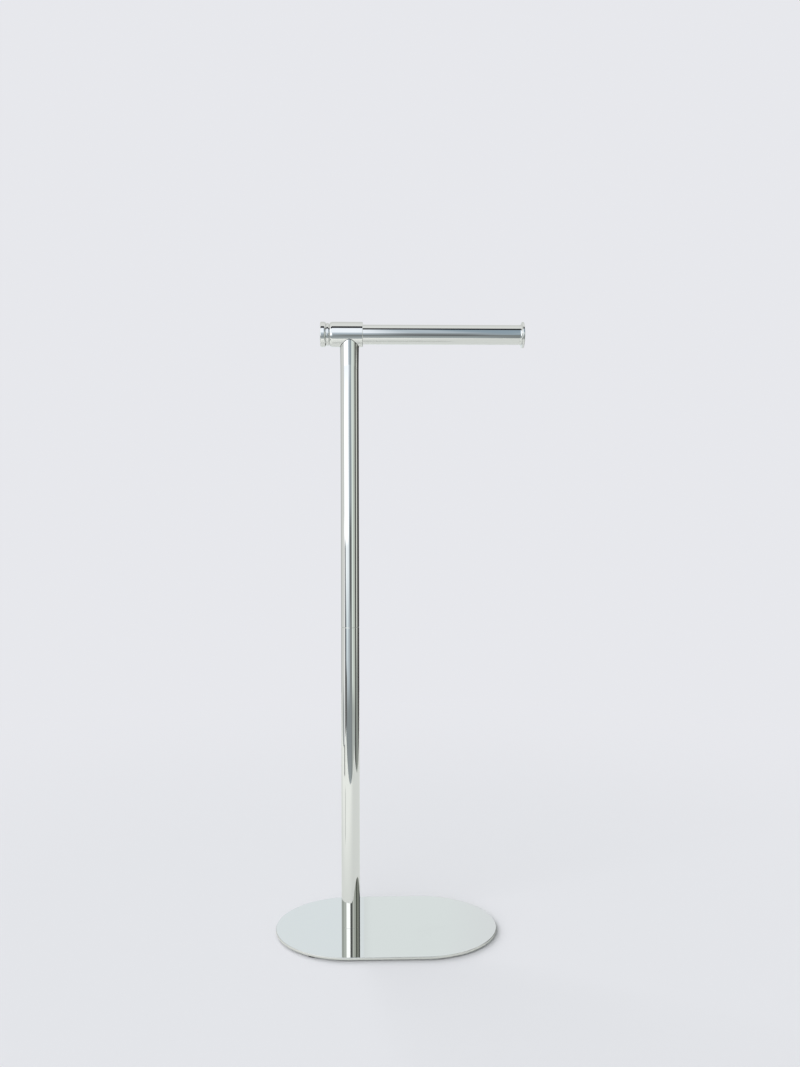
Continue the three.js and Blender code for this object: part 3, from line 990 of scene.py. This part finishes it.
# %% End cap
SPIGOT, SPIGOT_GAP = 14, 0.15
FLARE, FLARE_STEPS, RIM, RIM_ROUND, RIM_STEPS = 2.6, 18, 2.2, 0.7, 8
CAP_DOME, CAP_STEPS = 0.3, 16
rim = radius_of("arm_end_cap") - RIM_ROUND
spigot_end, spigot = arm_end - SPIGOT, arm_bore - SPIGOT_GAP
flare_end = arm_end + FLARE
face = flare_end + RIM
sweep = (arm_radius, arm_end + CRISP), (arm_radius, flare_end), (rim, flare_end)
corners = [
    corner(0, spigot_end),
    corner(spigot - PLUG_CHAMFER, spigot_end, PLUG_ROUND),
    corner(spigot, spigot_end + PLUG_CHAMFER, PLUG_ROUND),
    corner(spigot, arm_end),
    corner(arm_radius - CRISP, arm_end),
    *quadratic(*sweep, FLARE_STEPS),
    *arc((rim, flare_end + RIM_ROUND), (RIM_ROUND, RIM_ROUND), -90, 0, RIM_STEPS)[1:],
    *arc((rim, face - RIM_ROUND), (RIM_ROUND, RIM_ROUND), 0, 90, RIM_STEPS)[1:],
    *quadratic((rim, face), (rim / 2, face + CAP_DOME), (0, face + CAP_DOME), CAP_STEPS)[1:],
]
cap = turned("end_cap", corners, CHROME, closed=False, level=True, Sides=ARM_SIDES)
dress(cap, "arm_end_cap")

# %% Finial
DISC, DISC_DOME, DISC_EDGE, DOME_STEPS, EDGE_ARC_STEPS = 5.9, 0.5, 0.9, 16, 10
BACK_ROUND, BACK_STEPS, GROOVE, GROOVE_DEPTH = 2.2, 20, 0.35, 2.3
COLLAR_RADIUS, COLLAR, COLLAR_ROUND, NECK_RADIUS, NECK, TAP_DEPTH = 11.7, 2.4, 0.45, 10.4, 0.65, 6.9
finial_radius = radius_of("finial")
collar_end = sleeve_start - NECK
collar_start = collar_end - COLLAR
disc_back = collar_start - GROOVE
disc_face = disc_back - DISC
top = disc_face - DISC_DOME
groove = finial_radius - GROOVE_DEPTH
rim = finial_radius - DISC_EDGE
tap_end = sleeve_start - TAP_DEPTH
corners = [
    *quadratic((0, top), (rim / 2, top), (rim, disc_face), DOME_STEPS),
    *arc((rim, disc_face + DISC_EDGE), (DISC_EDGE, DISC_EDGE), -90, 0, EDGE_ARC_STEPS)[1:],
    *arc((groove, disc_back - BACK_ROUND), (GROOVE_DEPTH, BACK_ROUND), 0, 90, BACK_STEPS),
    corner(groove, collar_start, CRISP),
    corner(COLLAR_RADIUS, collar_start, COLLAR_ROUND),
    corner(COLLAR_RADIUS, collar_end, COLLAR_ROUND),
    corner(NECK_RADIUS, collar_end, EDGE_BREAK),
    corner(NECK_RADIUS, sleeve_start, CRISP),
    *threaded(KNOB_THREAD / 2 + TAP_GAP, sleeve_start, tap_end, PITCH[KNOB_THREAD], TAP_RUNOUT),
    corner(0, tap_end),
]
inputs = {"closed": False, "level": True, "Sides": ARM_SIDES, **thread_inputs(KNOB_THREAD)}
finial = turned("finial_knob", corners, CHROME, **inputs)
dress(finial, "finial")

# %% [markdown]
# ## The studio
#
# Chrome has hardly any look of its own, so the room does the work. In such a product picture the
# object stands on a white sweep that ends not far in front of it, a large soft box stands at the
# front left, a white board at the front right, and the rest of the room is darker. Flat cards
# would do, but it is quicker to paint them on a dome that only mirrors can see: each card is a
# patch between two bearings and two heights, laid over the one before. Bearing 0 is the side of
# the camera, and it grows to the right. The cards overhead are laid by their depth instead. The
# plate holds an image of the pole, which mirrors the room in turn, at a height that nothing else
# shows. Its cards appear only in such a second reflection, which Light Path's Glossy Depth tells.

# %% Groups for a soft-edged strip and for a card
def strip_group():
    """1 between two values and 0 outside them, with soft edges."""
    inputs = [(label, "Float") for label in ("Value", "From", "To", "Blur")]
    group, given, out = new_group("ShaderNodeTree", "soft_strip", inputs, (("Inside", "Float"),))
    blur = given["Blur"]
    first, second = (
        rise(given["Value"], minus(given[edge], blur), plus(given[edge], blur)) for edge in ("From", "To")
    )
    feed(out, {"Inside": minus(first, second)})
    return group


STRIP = strip_group()


def strip(value, start, end, blur):
    inputs = {"Value": value, "From": start, "To": end, "Blur": blur}
    return add_node(value.id_data, "ShaderNodeGroup", inputs, node_tree=STRIP).outputs["Inside"]


def card_group():
    labels = ("Across", "Height", "From", "To", "Bottom", "Top", "Side Blur", "Height Blur")
    inputs = [("Under", "Color"), ("Card", "Color")] + [(label, "Float") for label in labels]
    group, given, out = new_group("ShaderNodeTree", "studio_card", inputs, (("Color", "Color"),))
    sides = strip(given["Across"], given["From"], given["To"], given["Side Blur"])
    heights = strip(given["Height"], given["Bottom"], given["Top"], given["Height Blur"])
    feed(out, {"Color": blend(times(sides, heights), given["Under"], given["Card"])})
    return group


CARD = card_group()
print("studio_card has", len(CARD.nodes), "nodes")

# %% The cards, each laid over the ones before it
# name, bearings from and to, heights from and to in metres, blur of sides and heights, colour
CARDS = (
    ("left_wall", -182, -65, -2, 3, 3, 0.05, (0.72, 0.73, 0.71)),
    ("left_corner", -165, -124, -2, 1.3, 5, 0.05, (0.49, 0.505, 0.50)),
    ("backdrop_left", -182, -158, -2, 3, 4, 0.1, (0.82, 0.875, 0.90)),
    ("backdrop_right", 163, 182, -2, 3, 3, 0.1, (0.82, 0.87, 0.87)),
    ("backdrop_side", 160, 169, -2, 3, 4, 0.1, (0.80, 0.825, 0.84)),
    ("behind_right", 124, 152, -2, 0.83, 4, 0.1, (0.04, 0.04, 0.04)),
    ("right_dark", 67, 84, -2, 1.2, 2, 0.1, (0.07, 0.07, 0.07)),
    ("right_wall", 85, 100, -2, 1.2, 3, 0.1, (0.83, 0.86, 0.785)),
    ("right_wall_low", 85, 98, -2, 0.1, 3, 0.08, (0.42, 0.47, 0.42)),
    ("front_wall", -30, 18, -2, 3, 8, 0.05, (0.52, 0.595, 0.66)),
    ("front_wall_right", 13, 61, 0.5, 3, 4, 0.15, (0.32, 0.405, 0.475)),
    ("right_board", 23, 58, -0.03, 0.9, 5, 0.08, (0.85, 0.93, 0.87)),
    ("right_board_side", 40, 64.5, -0.03, 0.9, 3, 0.08, (0.59, 0.635, 0.575)),
    ("right_board_low", 23, 60, -2, -0.03, 5, 0.06, (0.50, 0.54, 0.51)),
    ("right_board_top", 19, 50, 0.6, 0.9, 4, 0.08, (0.78, 0.84, 0.80)),
    ("low_front", -5, 22, -2, 0.42, 4, 0.06, (0.24, 0.26, 0.26)),
    ("front_shade", 2, 13, 0.15, 0.8, 3, 0.15, (0.29, 0.315, 0.33)),
    ("front_stand", 3, 12, 0.2, 0.43, 3, 0.05, (0.08, 0.08, 0.08)),
    ("low_board", -56, -5, -2, 0.45, 4, 0.08, (0.50, 0.56, 0.61)),
    ("low_board_top", -56, -14, 0.22, 0.5, 4, 0.1, (1.05, 1.1, 1.15)),
    ("floor_beyond", -100, 15, -2, 0, 4, 0.05, (0.28, 0.31, 0.32)),
    ("floor_before", -100, 15, -2, -0.2, 4, 0.1, (0.38, 0.42, 0.43)),
    ("low_board_edge", -38, -24, 0.05, 0.3, 4, 0.15, (0.88, 1.0, 1.03)),
    ("left_strip", -82, -66, -0.2, 0.42, 1.5, 0.02, (0.98, 0.98, 0.98)),
    ("post", -67, -55.5, -0.2, 0.42, 1.5, 0.02, (0.05, 0.05, 0.05)),
    ("post_foot", -57, -40, -0.08, 0.06, 2, 0.03, (0.15, 0.15, 0.15)),
    ("soft_box", -69.5, -14.5, 0.37, 3, 1.5, 0.02, (1.5, 1.52, 1.55)),
    ("soft_box_top", -73, -8, 0.72, 3, 2, 0.1, (1.05, 1.1, 1.17)),
    ("soft_box_high", -73, 3, 0.77, 3, 4, 0.06, (1.05, 1.1, 1.17)),
)
# overhead, depths from the front to the back in metres take the place of bearings
TOP_CARDS = (
    ("dark_gap", -0.55, 2, 0.9, 3, 0.02, 0.05, (0.03, 0.03, 0.035)),
    ("ceiling", -0.265, 2, 0.9, 3, 0.02, 0.05, (0.83, 0.84, 0.82)),
    ("ceiling_back", 0.3, 2, 0.9, 3, 0.1, 0.05, (0.70, 0.71, 0.69)),
)
# one more wall card, laid over the ceiling
SIDE_CARDS = (("left_wall_high", -100, -40, 0.8, 1.22, 4, 0.05, (1.2, 1.22, 1.25)),)
# for the second reflection: name, bearings from and to, blur of the sides, colour
SECOND_HEIGHTS, SECOND_BLUR = (0.4, 0.85), 0.05
SECOND_CARDS = (
    ("high_left", -182, -95, 6, (0.45, 0.48, 0.445)),
    ("high_left_near", -95, -54, 6, (0.60, 0.63, 0.59)),
    ("high_box", -54, -5, 1.5, (1.5, 1.5, 1.5)),
    ("high_gap", -5, 15, 1.5, (0.09, 0.095, 0.09)),
    ("high_shade", 15, 28, 2, (0.30, 0.31, 0.29)),
    ("high_board", 28, 44, 2, (0.66, 0.68, 0.63)),
    ("high_board_side", 44, 70, 3, (0.46, 0.48, 0.44)),
    ("high_dark", 70, 85, 2, (0.06, 0.065, 0.05)),
    ("high_right", 85, 128, 3, (0.26, 0.275, 0.24)),
    ("high_back", 128, 182, 3, (0.03, 0.03, 0.03)),
)
PLATE_CARDS = [
    (name, start, end, *SECOND_HEIGHTS, blur, SECOND_BLUR, shade)
    for name, start, end, blur, shade in SECOND_CARDS
]
ROOM = (0.13, 0.125, 0.12)
print("cards:", [len(cards) for cards in (CARDS, TOP_CARDS, SIDE_CARDS, PLATE_CARDS)])

# %% The dome that holds them
DOME_RADIUS = 1.4
DOME_SEGMENTS, DOME_RINGS = 96, 48
# a Glossy Depth above this is a second reflection
SECOND_REFLECTION = 1.5


def lay_cards(under, cards, across, height):
    labels = ("From", "To", "Bottom", "Top", "Side Blur", "Height Blur")
    for name, *values, shade in cards:
        inputs = {"Under": under, "Across": across, "Height": height, "Card": (*shade, 1)}
        inputs.update(zip(labels, values))
        card = add_node(under.id_data, "ShaderNodeGroup", inputs, node_tree=CARD, label=name)
        under = card.outputs["Color"]
    return under


def bearing_of(beside, depth):
    """Degrees about the pole, from the camera's side to the right."""
    return maths("DEGREES", maths("ARCTAN2", beside, times(depth, -1)))


def dome_finish():
    made, tree, shader = material("studio_dome")
    tree.nodes.remove(shader)
    parts = split(object_place(tree))
    bearing = bearing_of(minus(parts["X"], pole_axis), parts["Y"])
    room = add_node(tree, "ShaderNodeRGB").outputs[0]
    room.default_value = (*ROOM, 1)
    once = lay_cards(room, CARDS, bearing, parts["Z"])
    once = lay_cards(once, TOP_CARDS, parts["Y"], parts["Z"])
    once = lay_cards(once, SIDE_CARDS, bearing, parts["Z"])
    again = lay_cards(once, PLATE_CARDS, bearing, parts["Z"])
    mirrored = add_node(tree, "ShaderNodeLightPath").outputs["Glossy Depth"]
    colour = blend(maths("GREATER_THAN", mirrored, SECOND_REFLECTION), once, again)
    light = add_node(tree, "ShaderNodeEmission", {"Color": colour})
    feed(tree.nodes["Material Output"], {"Surface": light.outputs[0]})
    made.cycles.emission_sampling = "NONE"
    return made


work = bmesh.new()
bmesh.ops.create_uvsphere(work, u_segments=DOME_SEGMENTS, v_segments=DOME_RINGS, radius=DOME_RADIUS)
dome_mesh = bpy.data.meshes.new("studio_dome")
work.to_mesh(dome_mesh)
work.free()
dome_mesh.transform(Matrix.Translation((pole_axis, 0, 0)))
dome_mesh.materials.append(dome_finish())
dome = add_object("studio_dome", dome_mesh)
dome.visible_camera = dome.visible_diffuse = dome.visible_shadow = dome.visible_transmission = False
print("dome radius in m:", DOME_RADIUS)

# %% [markdown]
# ## Floor, light and camera
#
# The floor is plain and pale. Far from the object it fades into the backdrop's colour, so no
# horizon shows. Mirrors see it a little greener, brighter towards the soft box, and with the
# sweep's real edges, past which it is clear and the darker cards of the dome show. They also see a
# dark spot and a thin line on it, out on the left, which make the fine dark line low on the pole.
# The world gives even light, very slightly green. A wide lamp from the back left gives the soft
# shadow beside the plate, and a still wider and lower one from the front left fills it in.

# %% Floor helpers
def glow(tree, colour, strength=1.0):
    return add_node(tree, "ShaderNodeEmission", {"Color": (*colour, 1), "Strength": strength}).outputs[0]


def mix_shaders(share, first, second):
    return add_node(share.id_data, "ShaderNodeMixShader", {0: share, 1: first, 2: second}).outputs[0]


print("floor helpers ready")

# %% Floor, in metres and degrees
BACKDROP = (0.80, 0.807, 0.842)
FLOOR_COLOUR = (0.768, 0.779, 0.808)
FLOOR_IN_MIRRORS = (0.768, 0.785, 0.755)
FADE_START, FADE_END = 0.25, 1.25
# the sweep's ends, and a back that lies far past the floor's own edge
SWEEP_LEFT, SWEEP_RIGHT, SWEEP_FRONT, SWEEP_BACK = pole_axis - 0.835, pole_axis + 0.65, -0.582, 9
SIDE_BLUR, FRONT_BLUR = 0.01, 0.008
# the way to the soft box, how far off the floor is brightest, and by how much
BOX_SIDE, BOX_FRONT, BOX_REACH, BOX_LIGHT = -0.77, 0.64, 0.4, 0.2
BOX_COLOUR, MARK_COLOUR = (1, 0.995, 0.93), (0.05, 0.05, 0.05)
# bearings from and to with their blur, and distances from and to with theirs
SPOT = (-81, -71, 1), (0.63, 0.86, 0.01)
LINE = (-69, -65.5, 1), (0.3, 0.55, 0.03)


def floor_mark(bearing, far, bearings, distances):
    return times(strip(bearing, *bearings), strip(far, *distances))


def floor_finish():
    made, tree, shader = material("studio_floor")
    parts = split(object_place(tree))
    beside, y = minus(parts["X"], pole_axis), parts["Y"]
    far, bearing = distance(beside, y), bearing_of(beside, y)
    light = add_node(tree, "ShaderNodeLightPath").outputs
    in_mirrors = light["Is Glossy Ray"]
    colour = blend(in_mirrors, FLOOR_COLOUR, FLOOR_IN_MIRRORS)
    feed(shader, {"Base Color": colour, "Roughness": 1.0, "Specular IOR Level": 0.0})
    fade = times(light["Is Camera Ray"], rise(far, FADE_START, FADE_END))
    plain = mix_shaders(fade, shader.outputs[0], glow(tree, BACKDROP))

    towards_box = minus(times(beside, BOX_SIDE), times(y, BOX_FRONT))
    near_box = times(rise(towards_box, 0.0, BOX_REACH), BOX_LIGHT)
    box_light = glow(tree, BOX_COLOUR, times(near_box, in_mirrors))
    lit = add_node(tree, "ShaderNodeAddShader", {0: plain, 1: box_light}).outputs[0]
    marks = maths("MAXIMUM", floor_mark(bearing, far, *SPOT), floor_mark(bearing, far, *LINE))
    marked = mix_shaders(times(in_mirrors, marks), lit, glow(tree, MARK_COLOUR))

    across = strip(parts["X"], SWEEP_LEFT, SWEEP_RIGHT, SIDE_BLUR)
    inside = times(across, strip(y, SWEEP_FRONT, SWEEP_BACK, FRONT_BLUR))
    outside = times(in_mirrors, minus(1, inside))
    behind = add_node(tree, "ShaderNodeNewGeometry").outputs["Backfacing"]
    clear = add_node(tree, "ShaderNodeBsdfTransparent").outputs[0]
    surface = mix_shaders(maths("MAXIMUM", outside, behind), marked, clear)
    feed(tree.nodes["Material Output"], {"Surface": surface})
    made.cycles.emission_sampling = "NONE"
    return made


FLOOR_HALF = 1.39
FLOOR_LEVEL = -0.0001
floor_mesh = bpy.data.meshes.new("studio_floor")
signs = ((-1, -1), (1, -1), (1, 1), (-1, 1))
places = [(pole_axis + x * FLOOR_HALF, y * FLOOR_HALF, FLOOR_LEVEL) for x, y in signs]
floor_mesh.from_pydata(places, [], [(0, 1, 2, 3)])
floor_mesh.materials.append(floor_finish())
studio_floor = add_object("studio_floor", floor_mesh)
print("floor half width in m:", FLOOR_HALF)

# %% World and lamps
WORLD_LIGHT = (0.449, 0.467, 0.455)
LAMP_COLOUR = (1.0, 0.972, 1.0)


def set_world():
    world = bpy.data.worlds.new("studio_world")
    world.use_nodes = True
    tree = world.node_tree
    given = tree.nodes["Background"]
    feed(given, {"Color": (*WORLD_LIGHT, 1)})
    seen = add_node(tree, "ShaderNodeBackground", {"Color": (*BACKDROP, 1)})
    by_camera = add_node(tree, "ShaderNodeLightPath").outputs["Is Camera Ray"]
    surface = mix_shaders(by_camera, given.outputs[0], seen.outputs[0])
    feed(tree.nodes["World Output"], {"Surface": surface})
    bpy.context.scene.world = world


def far_lamp(name, bearing, lift, width, power):
    """A lamp so far off that it lights the whole floor alike. Bearing 0 is the camera's side."""
    lamp = bpy.data.lights.new(name, "SUN")
    lamp.angle = math.radians(width)
    lamp.energy = power
    lamp.color = LAMP_COLOUR
    made = add_object(name, lamp)
    side, up = math.radians(bearing), math.radians(lift)
    towards = Vector((math.sin(side) * math.cos(up), -math.cos(side) * math.cos(up), math.sin(up)))
    made.rotation_euler = (-towards).to_track_quat("-Z", "Y").to_euler()
    made.visible_camera = made.visible_glossy = False


set_world()
far_lamp("key_lamp", bearing=-145, lift=30, width=45, power=1.65)
far_lamp("fill_lamp", bearing=-30, lift=24, width=60, power=2.25)
bpy.context.scene.view_settings.view_transform = "Standard"
print("world light", WORLD_LIGHT)

# %% Camera
# Its place, in metres and radians, makes the plate's outline, the pole and the arm fit a picture.
CAMERA_BESIDE, CAMERA_AWAY, CAMERA_HEIGHT = 0.0518, 1.0349, 0.4311
CAMERA_DOWN, CAMERA_ROLL = 0.0182, -0.0015
CAMERA_ROUND = math.radians(1.5)
LENS, SENSOR = 33.74, 36

camera = bpy.data.cameras.new("camera")
camera.lens = LENS
camera.sensor_width = SENSOR
camera_object = add_object("camera", camera)
swing = Matrix.Rotation(-CAMERA_ROUND, 4, "Z")
tilt = Matrix.Rotation(math.radians(90) - CAMERA_DOWN, 4, "X")
roll = Matrix.Rotation(CAMERA_ROLL, 4, "Z")
place = swing @ Vector((CAMERA_BESIDE, -CAMERA_AWAY, 0))
shift = Matrix.Translation((pole_axis + place.x, place.y, CAMERA_HEIGHT))
camera_object.matrix_world = shift @ swing @ tilt @ roll
bpy.context.scene.camera = camera_object
print("camera at", [round(v, 4) for v in camera_object.matrix_world.translation])
